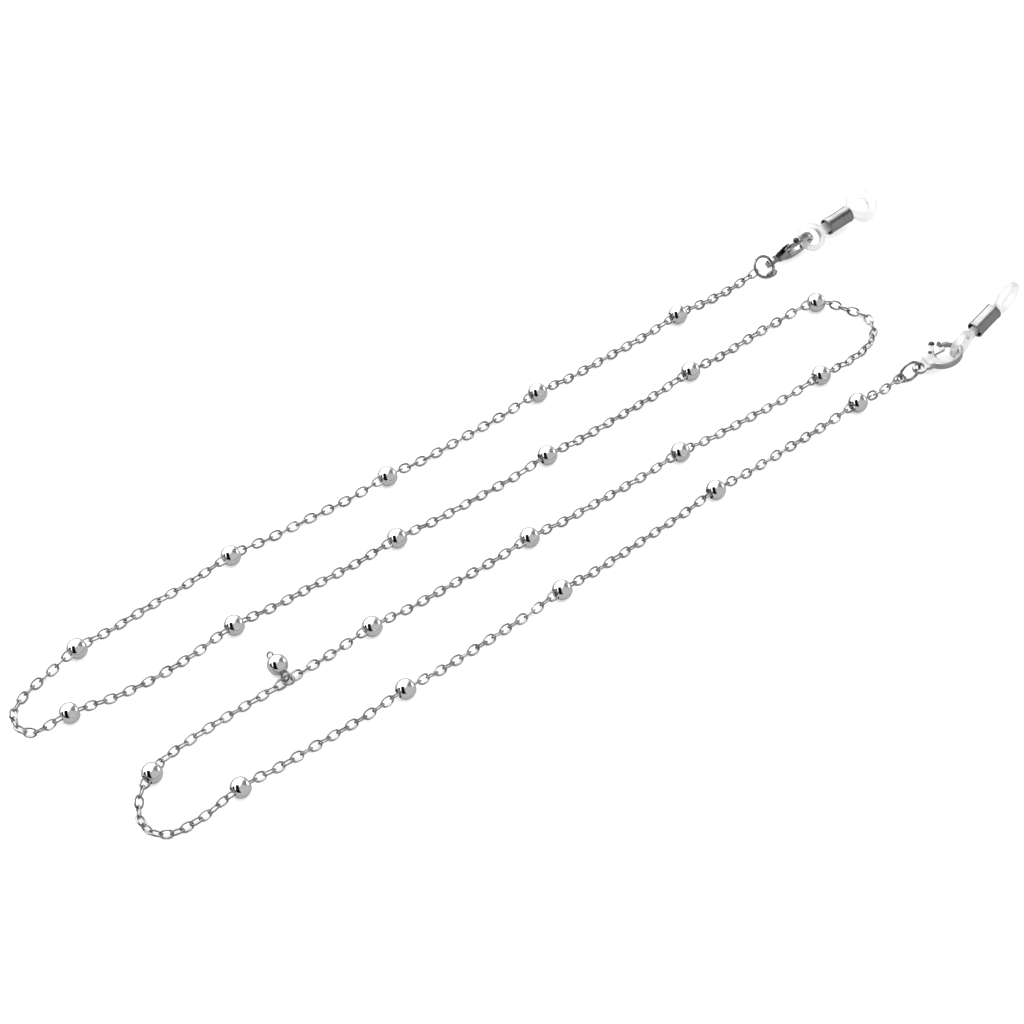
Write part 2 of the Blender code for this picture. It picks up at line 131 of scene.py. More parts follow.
# Gate spring: a coil beside the gate, drawn in steps, with the ends of its two legs from the pivot
SPRING_WIRE = 0.08 * MM
SPRING_SIDES = 8
SPRING_RADIUS = 0.46 * MM
SPRING_OFFSET = 0.33 * MM
SPRING_HALF_DEPTH = 0.08 * MM
SPRING_POINTS = 41
SPRING_FIRST_ANGLE = 200
SPRING_STEP_ANGLE = 27
SPRING_STEP_DEPTH = 0.004 * MM
SPRING_FIRST_LEG = (-1.0 * MM, -0.9 * MM)
SPRING_LAST_LEG = (1.3 * MM, -0.75 * MM)

# Silicone loop and sleeve
LOOP_THICKNESS = 1.4 * MM
LOOP_EDGE = 0.42 * MM
LOOP_SEAT = (8.0 * MM, -0.25 * MM)
SMALL_EYE = {"centre": 2.4 * MM, "outer": 2.95 * MM, "angles": (180, 40), "hole": 1.85 * MM}
LARGE_EYE = {"centre": 16.6 * MM, "outer": 3.5 * MM, "angles": (130, 0), "hole": 1.5 * MM}
LARGE_HOLE_ANGLES = (-125, 125)
LARGE_HOLE_POINT = 14.2 * MM
NECK_HALF_WIDTH = 1.1 * MM
NECK_START = 5.3 * MM
NECK_END = 13.3 * MM
SLEEVE_LENGTH = 6.2 * MM
SLEEVE_OUTER_RADIUS = 1.75 * MM
SLEEVE_INNER_RADIUS = 1.45 * MM
SLEEVE_RIM = 0.55 * MM
SLEEVE_STEP = 0.06 * MM
SLEEVE_REST = 6.6 * MM

# Charm
CHARM_EYE_RADIUS = 0.62 * MM
CHARM_NEAR_EYE_RADIUS = 0.85 * MM
CHARM_EYE_WIRE = 0.18 * MM
CHARM_EYE_LEAN = -45
CHARM_HEADING = 90
CHARM_BALL_REACH = 2.35 * MM
CHARM_FAR_EYE_REACH = 4.75 * MM

# The chain's route, as the frame's own part lays it out, in millimetres until layout_point
LAYOUT_SHIFT = Vector((0.97, -0.01, 0.0)) * MM
ROW_1 = ((44, 19), (9.5, 19.5), (-25.5, 20), (-59, 22), (-92, 21))
LEFT_TURN = ((-98, 20), (-103, 19), (-107, 17), (-108.5, 14), (-107, 11))
ROW_2_START = ((-100, 10),)
ROW_2_BEND = ((-84, 8),)
ROW_2 = ((-67, 8.5), (-32.5, 7), (1.5, 6), (36.5, 6), (68, 5))
RIGHT_TURN = ((72, 0.5), (74, -3), (73, -6.5), (69.5, -9), (63, -10))
ROW_3 = ((56, -10), (22, -8.5), (-13, -7.5), (-47.5, -6.5))
JOIN_POINT = (-65.5, -6.5)
ROW_3_BEND = ((-89, -7),)
ROW_3_END = ((-95, -9),)
FRONT_TURN = ((-98.5, -11), (-101, -14.5), (-101, -18), (-98.5, -20.5), (-92, -21))
ROW_4 = ((-84.5, -20.5), (-50.5, -21), (-15.5, -20.5), (21.5, -19.5), (57, -19.5))
RING_POINTS = {"a": (66, 18.5), "b": (70, -20)}
ENDS = {
    "a": {"ring_z": 2.05 * MM, "ring": (4, 0, 38), "clasp": (-3, 9, 15), "loop": (3, -0.5, 27)},
    "b": {"ring_z": 2.52 * MM, "ring": (-10, 0, -98), "clasp": (-6, 0.5, -90), "loop": (9, 10, -90)},
}

# Camera
CAMERA_TARGET = Vector((-11.03, -0.86, 1.9)) * MM
CAMERA_AZIMUTH = 233
CAMERA_ELEVATION = 52
CAMERA_DISTANCE = 0.444
CAMERA_NEAR = 0.01
CAMERA_LENS = 84.4
CAMERA_SENSOR = 36

# Studio: what polished metal sees, as directions given by azimuth and elevation in degrees.
# An edge is the pair of cosines from that direction between which one level turns into the other.
STUDIO_WHITE = 1.9
KEY_SIDE = (110, 30)
KEY_EDGE = (0.28, 0.45)
KEY_LEVEL = 3.0
ROOM_LEVEL = 0.7
GREY_CARD = (0, 45)
CARD_EDGE = (0.82, 0.95)
CARD_LEVEL = 0.45
LOW_LAMP = (-5, 8)
LAMP_EDGE = (0.965, 0.985)

# Each dark bar runs from one direction to another, and has a half width. Its edge is in shares of that
DARK_BARS = (((150, 62), (234, -20), 0.33), ((143, 20), (202, -14), 0.27))
BAR_EDGE = (0.7, 1.3)
BAR_END_SOFTNESS = 0.03

# Floor
FLOOR_HALF_SIZE = 1.5
FLOOR_CELLS = 8
FLOOR_DROP = 0.05 * MM
FLOOR_WHITE = 0.92
FLOOR_CLOUDS = 0.02
FLOOR_CLOUD_SCALE = 12
FLOOR_CLOUD_DETAIL = 2
FLOOR_ROUGHNESS = 0.9
# Painted reflection shade: the floor's colour in rays mirrored off polished metal
FLOOR_PAINTED_REFLECTION_GREY = 0.29

# Finishes. A noise scale is in features per metre, and a metal's grain is its scratches' scale
NOISE_LOW = 0.3
NOISE_HIGH = 0.7
EVEN = (1.0, 1.0, 1.0)
CLOUD_SCALE = 450
CLOUD_DETAIL = 3
GRAIN_DETAIL = 5
BUMP_DEPTH = 0.01 * MM
METALS = {
    "ball": {
        "name": "polished_ball", "dark": (0.82, 0.82, 0.83), "light": (0.88, 0.88, 0.89),
        "roughness": (0.02, 0.06), "grain": 2500, "stretch": EVEN, "bump": 0.03,
    },
    "link": {
        "name": "link_wire", "dark": (0.32, 0.32, 0.325), "light": (0.54, 0.54, 0.545),
        "roughness": (0.08, 0.2), "grain": 3000, "stretch": EVEN, "bump": 0.1,
    },
    "ring": {
        "name": "ring_wire", "dark": (0.24, 0.24, 0.245), "light": (0.38, 0.38, 0.385),
        "roughness": (0.06, 0.16), "grain": 2500, "stretch": EVEN, "bump": 0.1,
    },
    "clasp": {
        "name": "clasp_cast", "dark": (0.46, 0.46, 0.465), "light": (0.6, 0.6, 0.605),
        "roughness": (0.08, 0.18), "grain": 1800, "stretch": EVEN, "bump": 0.1,
    },
    "steel": {
        "name": "dark_steel", "dark": (0.05, 0.05, 0.052), "light": (0.1, 0.1, 0.102),
        "roughness": (0.12, 0.26), "grain": 3000, "stretch": EVEN, "bump": 0.1,
    },
    "sleeve": {
        "name": "brushed_sleeve", "dark": (0.3, 0.3, 0.305), "light": (0.4, 0.4, 0.405),
        "roughness": (0.07, 0.15), "grain": 700, "stretch": (0.12, 3.0, 3.0), "bump": 0.15,
    },
}
SILICONE = {
    "name": "satin_silicone", "milky": (0.68, 0.69, 0.69), "clear": (0.76, 0.765, 0.765),
    "haze_scale": 260, "haze_detail": 3, "skin_scale": 700, "skin_detail": 1,
    "roughness": (0.28, 0.36), "transmission": 0.75, "ior": 1.41, "bump": 0.02,
}


def material_base(name):
    """A new node material, its node tree and its Principled shader."""
    material = bpy.data.materials.new(name)
    material.use_nodes = True
    tree = material.node_tree
    return material, tree, tree.nodes["Principled BSDF"]


def noise(tree, scale, detail, stretch=EVEN):
    """Noise over the object's own coordinates, with scale in features per metre."""
    place = tree.nodes.new("ShaderNodeTexCoord")
    mapping = tree.nodes.new("ShaderNodeMapping")
    mapping.inputs["Scale"].default_value = stretch
    texture = tree.nodes.new("ShaderNodeTexNoise")
    texture.inputs["Scale"].default_value = scale
    texture.inputs["Detail"].default_value = detail
    tree.links.new(place.outputs["Object"], mapping.inputs["Vector"])
    tree.links.new(mapping.outputs["Vector"], texture.inputs["Vector"])
    return texture.outputs["Fac"]


def ranged(tree, source, low, high):
    """The noise source's usual span, spread over low to high."""
    spread = tree.nodes.new("ShaderNodeMapRange")
    spread.inputs["From Min"].default_value = NOISE_LOW
    spread.inputs["From Max"].default_value = NOISE_HIGH
    spread.inputs["To Min"].default_value = low
    spread.inputs["To Max"].default_value = high
    tree.links.new(source, spread.inputs["Value"])
    return spread.outputs["Result"]


def tinted(tree, source, dark, light):
    """The noise source's usual span, as a colour between dark and light."""
    ramp = tree.nodes.new("ShaderNodeValToRGB")
    ramp.color_ramp.elements[0].position = NOISE_LOW
    ramp.color_ramp.elements[0].color = (*dark, 1.0)
    ramp.color_ramp.elements[1].position = NOISE_HIGH
    ramp.color_ramp.elements[1].color = (*light, 1.0)
    tree.links.new(source, ramp.inputs["Fac"])
    return ramp.outputs["Color"]


def bumped(tree, shader, source, strength):
    """Gives the shader a shallow relief that follows source."""
    bump = tree.nodes.new("ShaderNodeBump")
    bump.inputs["Strength"].default_value = strength
    bump.inputs["Distance"].default_value = BUMP_DEPTH
    tree.links.new(source, bump.inputs["Height"])
    tree.links.new(bump.outputs["Normal"], shader.inputs["Normal"])


def metal(finish):
    """Plated metal: cloudy tone, uneven polish, and a fine grain of scratches."""
    material, tree, shader = material_base(finish["name"])
    shader.inputs["Metallic"].default_value = 1.0
    clouds = noise(tree, CLOUD_SCALE, CLOUD_DETAIL)
    scratches = noise(tree, finish["grain"], GRAIN_DETAIL, finish["stretch"])
    tone = tinted(tree, clouds, finish["dark"], finish["light"])
    tree.links.new(tone, shader.inputs["Base Color"])
    tree.links.new(ranged(tree, scratches, *finish["roughness"]), shader.inputs["Roughness"])
    bumped(tree, shader, scratches, finish["bump"])
    return material


def silicone(finish):
    """Clear, slightly milky silicone with a satin skin and faint moulding ripples."""
    material, tree, shader = material_base(finish["name"])
    haze = noise(tree, finish["haze_scale"], finish["haze_detail"])
    skin = noise(tree, finish["skin_scale"], finish["skin_detail"])
    colour = tinted(tree, haze, finish["milky"], finish["clear"])
    tree.links.new(colour, shader.inputs["Base Color"])
    tree.links.new(ranged(tree, skin, *finish["roughness"]), shader.inputs["Roughness"])
    shader.inputs["Transmission Weight"].default_value = finish["transmission"]
    shader.inputs["IOR"].default_value = finish["ior"]
    bumped(tree, shader, skin, finish["bump"])
    return material


def make_materials():
    """Every finish by its short name."""
    materials = {name: metal(finish) for name, finish in METALS.items()}
    materials["silicone"] = silicone(SILICONE)
    return materials


def direction(azimuth, elevation):
    """The unit vector towards an azimuth from X and an elevation, both in degrees."""
    turn = math.radians(azimuth)
    lift = math.radians(elevation)
    return Vector((math.cos(lift) * math.cos(turn), math.cos(lift) * math.sin(turn), math.sin(lift)))


def make_camera():
    """A long lens above the front left of the chain, aimed at the middle of its rows."""
    data = bpy.data.cameras.new("camera")
    data.lens = CAMERA_LENS
    data.sensor_width = CAMERA_SENSOR
    data.clip_start = CAMERA_NEAR
    camera = bpy.data.objects.new("camera", data)
    bpy.context.scene.collection.objects.link(camera)
    camera.location = CAMERA_TARGET + direction(CAMERA_AZIMUTH, CAMERA_ELEVATION) * CAMERA_DISTANCE
    towards_target = CAMERA_TARGET - camera.location
    camera.rotation_euler = towards_target.to_track_quat("-Z", "Y").to_euler()
    bpy.context.scene.camera = camera


def world_value(tree, operation, first, second, clamp=False):
    """A Math node whose inputs are sockets or numbers."""
    node = tree.nodes.new("ShaderNodeMath")
    node.operation = operation
    node.use_clamp = clamp
    for socket, value in zip(node.inputs, (first, second)):
        if isinstance(value, bpy.types.NodeSocket):
            tree.links.new(value, socket)
        else:
            socket.default_value = value
    return node.outputs["Value"]


def facing(tree, sky, towards):
    """The cosine between the sky direction and a fixed direction."""
    dot = tree.nodes.new("ShaderNodeVectorMath")
    dot.operation = "DOT_PRODUCT"
    dot.inputs[1].default_value = towards
    tree.links.new(sky, dot.inputs[0])
    return dot.outputs["Value"]


def stepped(tree, source, start, end, low, high):
    """low where source is under start and high where it is over end, smooth between."""
    step = tree.nodes.new("ShaderNodeMapRange")
    step.interpolation_type = "SMOOTHSTEP"
    step.inputs["From Min"].default_value = start
    step.inputs["From Max"].default_value = end
    step.inputs["To Min"].default_value = low
    step.inputs["To Max"].default_value = high
    tree.links.new(source, step.inputs["Value"])
    return step.outputs["Result"]


def dark_bar(tree, sky, first, second, half_width):
    """0 along the great arc from the first direction to the second, and 1 elsewhere."""
    middle = (first + second).normalized()
    across = world_value(tree, "ABSOLUTE", facing(tree, sky, first.cross(second).normalized()), 0.0)
    beside = stepped(tree, across, half_width * BAR_EDGE[0], half_width * BAR_EDGE[1], 0.0, 1.0)
    reach = middle.dot(first)
    along = facing(tree, sky, middle)
    beyond = stepped(tree, along, reach - BAR_END_SOFTNESS, reach + BAR_END_SOFTNESS, 1.0, 0.0)
    return world_value(tree, "MAXIMUM", beside, beyond)


def mirrored_ray(tree):
    """1 for a ray that left a mirror-like surface, and 0 for any other ray, refracted ones included."""
    rays = tree.nodes.new("ShaderNodeLightPath").outputs
    return world_value(tree, "SUBTRACT", rays["Is Glossy Ray"], rays["Is Transmission Ray"], True)


def make_studio():
    """A white room, which polished metal sees as a lit side, a shaded side and dark bars."""
    world = bpy.data.worlds.new("studio")
    bpy.context.scene.world = world
    world.use_nodes = True
    tree = world.node_tree
    plain = tree.nodes["Background"]
    plain.inputs["Strength"].default_value = STUDIO_WHITE
    plain.inputs["Color"].default_value = (1.0, 1.0, 1.0, 1.0)
    sky = tree.nodes.new("ShaderNodeTexCoord").outputs["Generated"]
    level = stepped(tree, facing(tree, sky, direction(*KEY_SIDE)), *KEY_EDGE, ROOM_LEVEL, KEY_LEVEL)
    card = stepped(tree, facing(tree, sky, direction(*GREY_CARD)), *CARD_EDGE, 1.0, CARD_LEVEL)
    level = world_value(tree, "MULTIPLY", level, card)
    for start, end, half_width in DARK_BARS:
        bar = dark_bar(tree, sky, direction(*start), direction(*end), half_width)
        level = world_value(tree, "MULTIPLY", level, bar)
    lamp = stepped(tree, facing(tree, sky, direction(*LOW_LAMP)), *LAMP_EDGE, 0.0, KEY_LEVEL)
    level = world_value(tree, "ADD", level, lamp)
    mirrored = tree.nodes.new("ShaderNodeBackground")
    tree.links.new(level, mirrored.inputs["Strength"])
    mixed = tree.nodes.new("ShaderNodeMixShader")
    tree.links.new(mirrored_ray(tree), mixed.inputs["Fac"])
    tree.links.new(plain.outputs["Background"], mixed.inputs[1])
    tree.links.new(mirrored.outputs["Background"], mixed.inputs[2])
    tree.links.new(mixed.outputs["Shader"], tree.nodes["World Output"].inputs["Surface"])


def make_floor():
    """A pale matt floor under the chain, with painted reflection shade: polished metal mirrors it in a
    darker grey than its own white.
    """
    shape = bmesh.new()
    bmesh.ops.create_grid(shape, x_segments=FLOOR_CELLS, y_segments=FLOOR_CELLS, size=FLOOR_HALF_SIZE)
    mesh = bpy.data.meshes.new("floor")
    shape.to_mesh(mesh)
    shape.free()
    floor = bpy.data.objects.new("floor", mesh)
    floor.location.z = -FLOOR_DROP
    bpy.context.scene.collection.objects.link(floor)
    material, tree, shader = material_base("pale_floor")
    clouds = noise(tree, FLOOR_CLOUD_SCALE, FLOOR_CLOUD_DETAIL)
    white = tinted(tree, clouds, (FLOOR_WHITE - FLOOR_CLOUDS,) * 3, (FLOOR_WHITE,) * 3)
    mixed = tree.nodes.new("ShaderNodeMix")
    mixed.data_type = "RGBA"
    # Painted reflection shade: mirrored rays see the floor in this grey instead of its white
    mixed.inputs["B"].default_value = (FLOOR_PAINTED_REFLECTION_GREY, FLOOR_PAINTED_REFLECTION_GREY, FLOOR_PAINTED_REFLECTION_GREY, 1.0)
    tree.links.new(mirrored_ray(tree), mixed.inputs["Factor"])
    tree.links.new(white, mixed.inputs["A"])
    tree.links.new(mixed.outputs["Result"], shader.inputs["Base Color"])
    shader.inputs["Roughness"].default_value = FLOOR_ROUGHNESS
    shader.inputs["Specular IOR Level"].default_value = 0.0
    mesh.materials.append(material)


def frame_at(position, heading=0.0, pitch=0.0, roll=0.0):
    """A frame whose X runs along heading and pitch (up is positive), rolled about that X."""
    turn = Matrix.Rotation(math.radians(heading), 4, "Z")
    tilt = Matrix.Rotation(math.radians(-pitch), 4, "Y")
    spin = Matrix.Rotation(math.radians(roll), 4, "X")
    return Matrix.Translation(position) @ turn @ tilt @ spin


def arc(centre, radii, start, end, step=6):
    """Points on an ellipse's arc from start to end degrees, both included."""
    count = max(1, round(abs(end - start) / step))
    points = []
    for index in range(count + 1):
        angle = math.radians(start + (end - start) * index / count)
        points.append((centre[0] + radii[0] * math.cos(angle), centre[1] + radii[1] * math.sin(angle)))
    return points


def circle(centre, radius, sides=40):
    """Points once round a circle, the first not repeated."""
    return arc(centre, (radius, radius), 0, 360 - 360 / sides, 360 / sides)


def swept(points, radius, sides, closed):
    """Vertices and faces of a round wire along the points, with flat ends if it is open."""
    count = len(points)
    vertices = []
    side_way = None
    for index, point in enumerate(points):
        after = points[(index + 1) % count] if closed or index < count - 1 else point
        before = points[index - 1] if closed or index else point
        along = (after - before).normalized()
        if side_way is None:
            side_way = along.orthogonal().normalized()
        side_way = (side_way - along * side_way.dot(along)).normalized()
        other_way = along.cross(side_way)
        for corner in range(sides):
            angle = 2 * math.pi * corner / sides
            vertices.append(point + (side_way * math.cos(angle) + other_way * math.sin(angle)) * radius)
    faces = []
    for index in range(count if closed else count - 1):
        here = index * sides
        there = (index + 1) % count * sides
        for corner in range(sides):
            following = (corner + 1) % sides
            faces.append((here + corner, here + following, there + following, there + corner))
    if not closed:
        faces.append(tuple(reversed(range(sides))))
        faces.append(tuple(range((count - 1) * sides, count * sides)))
    return vertices, faces


def closed_wire(radii, wire, steps, sides, squareness=2.0):
    """A flat closed wire ring: an oval, squarer as squareness grows past 2."""
    points = []
    for index in range(steps):
        angle = 2 * math.pi * index / steps
        across = math.cos(angle)
        up = math.sin(angle)
        x = math.copysign(abs(across) ** (2 / squareness), across) * radii[0]
        y = math.copysign(abs(up) ** (2 / squareness), up) * radii[1]
        points.append(Vector((x, y, 0.0)))
    return swept(points, wire, sides, True)


def split_ring(radius, wire, half_gap):
    """A jump ring: a round of wire whose two cut ends nearly meet, half_gap degrees off X."""
    flat = arc((0.0, 0.0), (radius, radius), half_gap, 360 - half_gap, RING_STEP)
    return swept([Vector((x, y, 0.0)) for x, y in flat], wire, RING_SIDES, False)


def placed(shape, matrix):
    """(vertices, faces) moved by matrix."""
    vertices, faces = shape
    return [matrix @ vertex for vertex in vertices], faces


def joined(shapes):
    """Several (vertices, faces) as one."""
    vertices = []
    faces = []
    for more_vertices, more_faces in shapes:
        base = len(vertices)
        vertices.extend(more_vertices)
        faces.extend(tuple(base + corner for corner in face) for face in more_faces)
    return vertices, faces


def mesh_of(name, shape):
    """A finished mesh from (vertices, faces)."""
    mesh = bpy.data.meshes.new(name)
    vertices, faces = shape
    mesh.from_pydata([tuple(vertex) for vertex in vertices], [], faces)
    finish_mesh(mesh)
    return mesh


def finish_mesh(mesh):
    """Welds the mesh, turns its faces outwards and shades it smooth but for sharp edges."""
    shape = bmesh.new()
    shape.from_mesh(mesh)
    bmesh.ops.remove_doubles(shape, verts=shape.verts, dist=WELD_DISTANCE)
    bmesh.ops.recalc_face_normals(shape, faces=shape.faces)
    shape.to_mesh(mesh)
    shape.free()
    mesh.shade_smooth()
    mesh.set_sharp_from_angle(angle=math.radians(SHARP_ANGLE))


def turned(profile, sides):
    """A closed profile of (radius, distance) points turned about X, as vertices and faces."""
    vertices = []
    faces = []
    count = len(profile)
    for side in range(sides):
        angle = 2 * math.pi * side / sides
        for radius, distance in profile:
            vertices.append(Vector((distance, radius * math.cos(angle), radius * math.sin(angle))))
    for side in range(sides):
        here = side * count
        there = (side + 1) % sides * count
        for index in range(count):
            following = (index + 1) % count
            faces.append((here + index, here + following, there + following, there + index))
    return vertices, faces


def add_piece(name, mesh, material, body, replaced=()):
    """Links a piece, gives it its finish, and rides it on its body."""
    piece = bpy.data.objects.new(name, mesh)
    bpy.context.scene.collection.objects.link(piece)
    mesh.materials.append(material)
    piece.modifiers.new("even_normals", "WEIGHTED_NORMAL").keep_sharp = True
    if replaced:
        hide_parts(*replaced)
    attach(piece, body)
    return piece


def body_of_node(node):
    """The name of the CAD body that holds this node."""
    for body, members in frame["record"]["behaviour"]["bodies"].items():
        if node in members:
            return body
    raise ValueError(f"no body holds {node}")


def layout_point(point, height=0.0):
    """A point of the layout, given in millimetres, in the frame's own metres."""
    return Vector((point[0] * MM, point[1] * MM, height)) + LAYOUT_SHIFT


def route_points():
    """The whole route in order, from ring A to ring B, and its beads, as flat points."""
    beads = ROW_1 + ROW_2_START + ROW_2 + ROW_3 + ROW_3_END + ROW_4
    stops = (RING_POINTS["a"],) + ROW_1 + LEFT_TURN + ROW_2_START + ROW_2_BEND + ROW_2 + RIGHT_TURN
    stops += ROW_3 + (JOIN_POINT,) + ROW_3_BEND + ROW_3_END + FRONT_TURN + ROW_4
    stops += (RING_POINTS["b"],)
    return [layout_point(stop) for stop in stops], [layout_point(bead) for bead in beads]


def catmull_rom(corners, knots, at):
    """The point at a knot value between the middle two of four corners."""
    def blend(first, second, low, high):
        return first * ((high - at) / (high - low)) + second * ((at - low) / (high - low))

    first = [blend(corners[i], corners[i + 1], knots[i], knots[i + 1]) for i in range(3)]
    second = [blend(first[i], first[i + 1], knots[i], knots[i + 2]) for i in range(2)]
    return blend(second[0], second[1], knots[1], knots[2])


def smooth_route(points, samples=12):
    """A centripetal Catmull-Rom curve through the points, as many short steps."""
    padded = [2 * points[0] - points[1], *points, 2 * points[-1] - points[-2]]
    curve = []
    for before, start, end, after in zip(padded, padded[1:], padded[2:], padded[3:]):
        knots = [0.0]
        for first, second in ((before, start), (start, end), (end, after)):
            knots.append(knots[-1] + math.sqrt((second - first).length))
        for step in range(samples):
            at = knots[1] + (knots[2] - knots[1]) * step / samples
            curve.append(catmull_rom((before, start, end, after), knots, at))
    curve.append(points[-1].copy())
    return curve


def travelled(curve):
    """The distance along the curve at each of its points."""
    distances = [0.0]
    for first, second in zip(curve, curve[1:]):
        distances.append(distances[-1] + (second - first).length)
    return distances


def chain_height(distance, stops):
    """Height of the chain's middle: lifted to each stop's height, and lying down between them."""
    height = CHAIN_REST_HEIGHT
    for _, place, stop_height, _ in stops:
        share = min(1.0, abs(distance - place) / SAG_LENGTH)
        falloff = 1 - share * share * (3 - 2 * share)
        height = max(height, CHAIN_REST_HEIGHT + (stop_height - CHAIN_REST_HEIGHT) * falloff)
    return height


def chain_stops(curve, distances, points, beads):
    """Where the chain stops: (name, distance, height, how far off its nearest link's middle is)."""
    bead_reach = BEAD_RADIUS + BEAD_LINK_GAP
    link_half = LINK_LENGTH / 2 - LINK_WIRE
    end_reach = END_RING_RADIUS - END_RING_WIRE - LINK_WIRE + link_half
    join_reach = JOIN_RING_RADIUS - JOIN_RING_WIRE - LINK_WIRE + link_half
    named = {}
    for index, bead in enumerate(beads, 1):
        named[f"bead_{index:02d}"] = (bead, BEAD_RADIUS, bead_reach)
    named["joining_ring"] = (layout_point(JOIN_POINT), CHAIN_REST_HEIGHT, join_reach)
    named["jump_ring_a"] = (points[0], ENDS["a"]["ring_z"], end_reach)
    named["jump_ring_b"] = (points[-1], ENDS["b"]["ring_z"], end_reach)
    stops = []
    for name, (place, height, reach) in named.items():
        nearest = min(range(len(curve)), key=lambda index: (curve[index] - place).length)
        stops.append((name, distances[nearest], height, reach))
    return sorted(stops, key=lambda stop: stop[1])


class Route:
    """The chain's route with its stops, read by the distance travelled along it."""

    def __init__(self):
        points, beads = route_points()
        self.curve = smooth_route(points)
        self.distances = travelled(self.curve)
        self.stops = chain_stops(self.curve, self.distances, points, beads)

    def flat(self, distance):
        """The point at a distance along the route, on the ground."""
        for index in range(1, len(self.curve)):
            if self.distances[index] >= distance:
                span = self.distances[index] - self.distances[index - 1]
                share = (distance - self.distances[index - 1]) / span
                return self.curve[index - 1].lerp(self.curve[index], share)
        return self.curve[-1].copy()

    def at(self, distance):
        """The middle of the chain at a distance along the route."""
        point = self.flat(distance)
        point.z = chain_height(distance, self.stops)
        return point


def link_frame(route, distance, roll):
    """The frame of one link: X along the chain, rolled about it."""
    behind = route.at(distance - LINK_PITCH / 2)
    ahead = route.at(distance + LINK_PITCH / 2)
    along = (ahead - behind).normalized()
    side = Vector((0.0, 0.0, 1.0)).cross(along).normalized()
    upward = along.cross(side)
    turn = Matrix((along, side, upward)).transposed().to_4x4()
    spin = Matrix.Rotation(math.radians(roll), 4, "X")
    return Matrix.Translation(route.at(distance)) @ turn @ spin


def stretch_mesh(route, name, first, last, chance):
    """The linked ovals from the first link's middle to the last's, each turned against the next."""
    gaps = max(1, math.ceil((last - first) / LINK_PITCH))
    half_length = LINK_LENGTH / 2 - LINK_WIRE
    half_width = LINK_WIDTH / 2 - LINK_WIRE
    oval = closed_wire((half_length, half_width), LINK_WIRE, LINK_STEPS, LINK_SIDES, LINK_SQUARENESS)
    lean = chance.uniform(-STRETCH_LEAN, STRETCH_LEAN)
    links = []
    for index in range(gaps + 1):
        distance = first + (last - first) * index / gaps
        turned_over = LINK_ROLL if index % 2 else -LINK_ROLL
        roll = turned_over + lean + chance.uniform(-LINK_LEAN, LINK_LEAN)
        yaw = Matrix.Rotation(math.radians(chance.uniform(-LINK_YAW, LINK_YAW)), 4, "Z")
        links.append(placed(oval, link_frame(route, distance, roll) @ yaw))
    return mesh_of(name, joined(links))


def make_chain(route, materials):
    """Every stretch of linked ovals, in place of its plain tube."""
    chance = random.Random(LINK_SEED)
    for index, (start, end) in enumerate(zip(route.stops, route.stops[1:]), 1):
        first = start[1] + start[3]
        last = end[1] - end[3]
        node = f"chain_{index:02d}"
        mesh = stretch_mesh(route, f"links_{index:02d}", first, last, chance)
        body = body_of_node(node)
        piece = add_piece(mesh.name, mesh, materials["link"], body, (node,))
        declare_stretch(route, first, last)


def declare_stretch(route, first, last):
    """Works out a stretch's centreline along the route, half a link past each end; nothing is done with
    it.
    """
    half = LINK_LENGTH / 2
    steps = CORD_POINTS - 1
    reach = last - first + 2 * half
    line = [route.at(first - half + reach * step / steps) for step in range(CORD_POINTS)]


def ball_profile(radius, hole, lip):
    """Half section of a drilled ball: round outside, rolled lips, straight bore."""
    rim = math.degrees(math.acos((hole + lip) / radius))
    outside = [(y, x) for x, y in arc((0.0, 0.0), (radius, radius), 90 - rim, 90 + rim, BALL_STEP)]
    reach = radius * math.sin(math.radians(rim))
    lip_radii = (lip * LIP_REACH, lip)
    far_lip = arc((-reach + lip * LIP_INSET, hole + lip), lip_radii, 180, 270, LIP_STEP)
    near_lip = arc((reach - lip * LIP_INSET, hole + lip), lip_radii, 270, 360, LIP_STEP)
    return outside + [(y, x) for x, y in far_lip[1:]] + [(y, x) for x, y in near_lip[:-1]]


def plain_ball_profile(radius, step):
    """Half section of a ball, which stops just short of the axis at both poles."""
    return [(y, x) for x, y in arc((0.0, 0.0), (radius, radius), POLE_ANGLE, 180 - POLE_ANGLE, step)]


def make_beads(route, materials):
    """The drilled balls, each with its bore along the chain."""
    profile = ball_profile(BEAD_RADIUS, BEAD_HOLE_RADIUS, BEAD_LIP)
    shared = mesh_of("drilled_ball", turned(profile, BALL_SIDES))
    for name, distance, height, _ in route.stops:
        if not name.startswith("bead"):
            continue
        ahead = route.flat(distance + BEAD_RADIUS)
        behind = route.flat(distance - BEAD_RADIUS)
        heading = math.degrees(math.atan2(ahead.y - behind.y, ahead.x - behind.x))
        place = route.flat(distance)
        place.z = height
        mesh = shared.copy()
        mesh.transform(frame_at(place, heading))
        piece_name = name.replace("bead", "ball")
        add_piece(piece_name, mesh, materials["ball"], body_of_node(name), (name,))


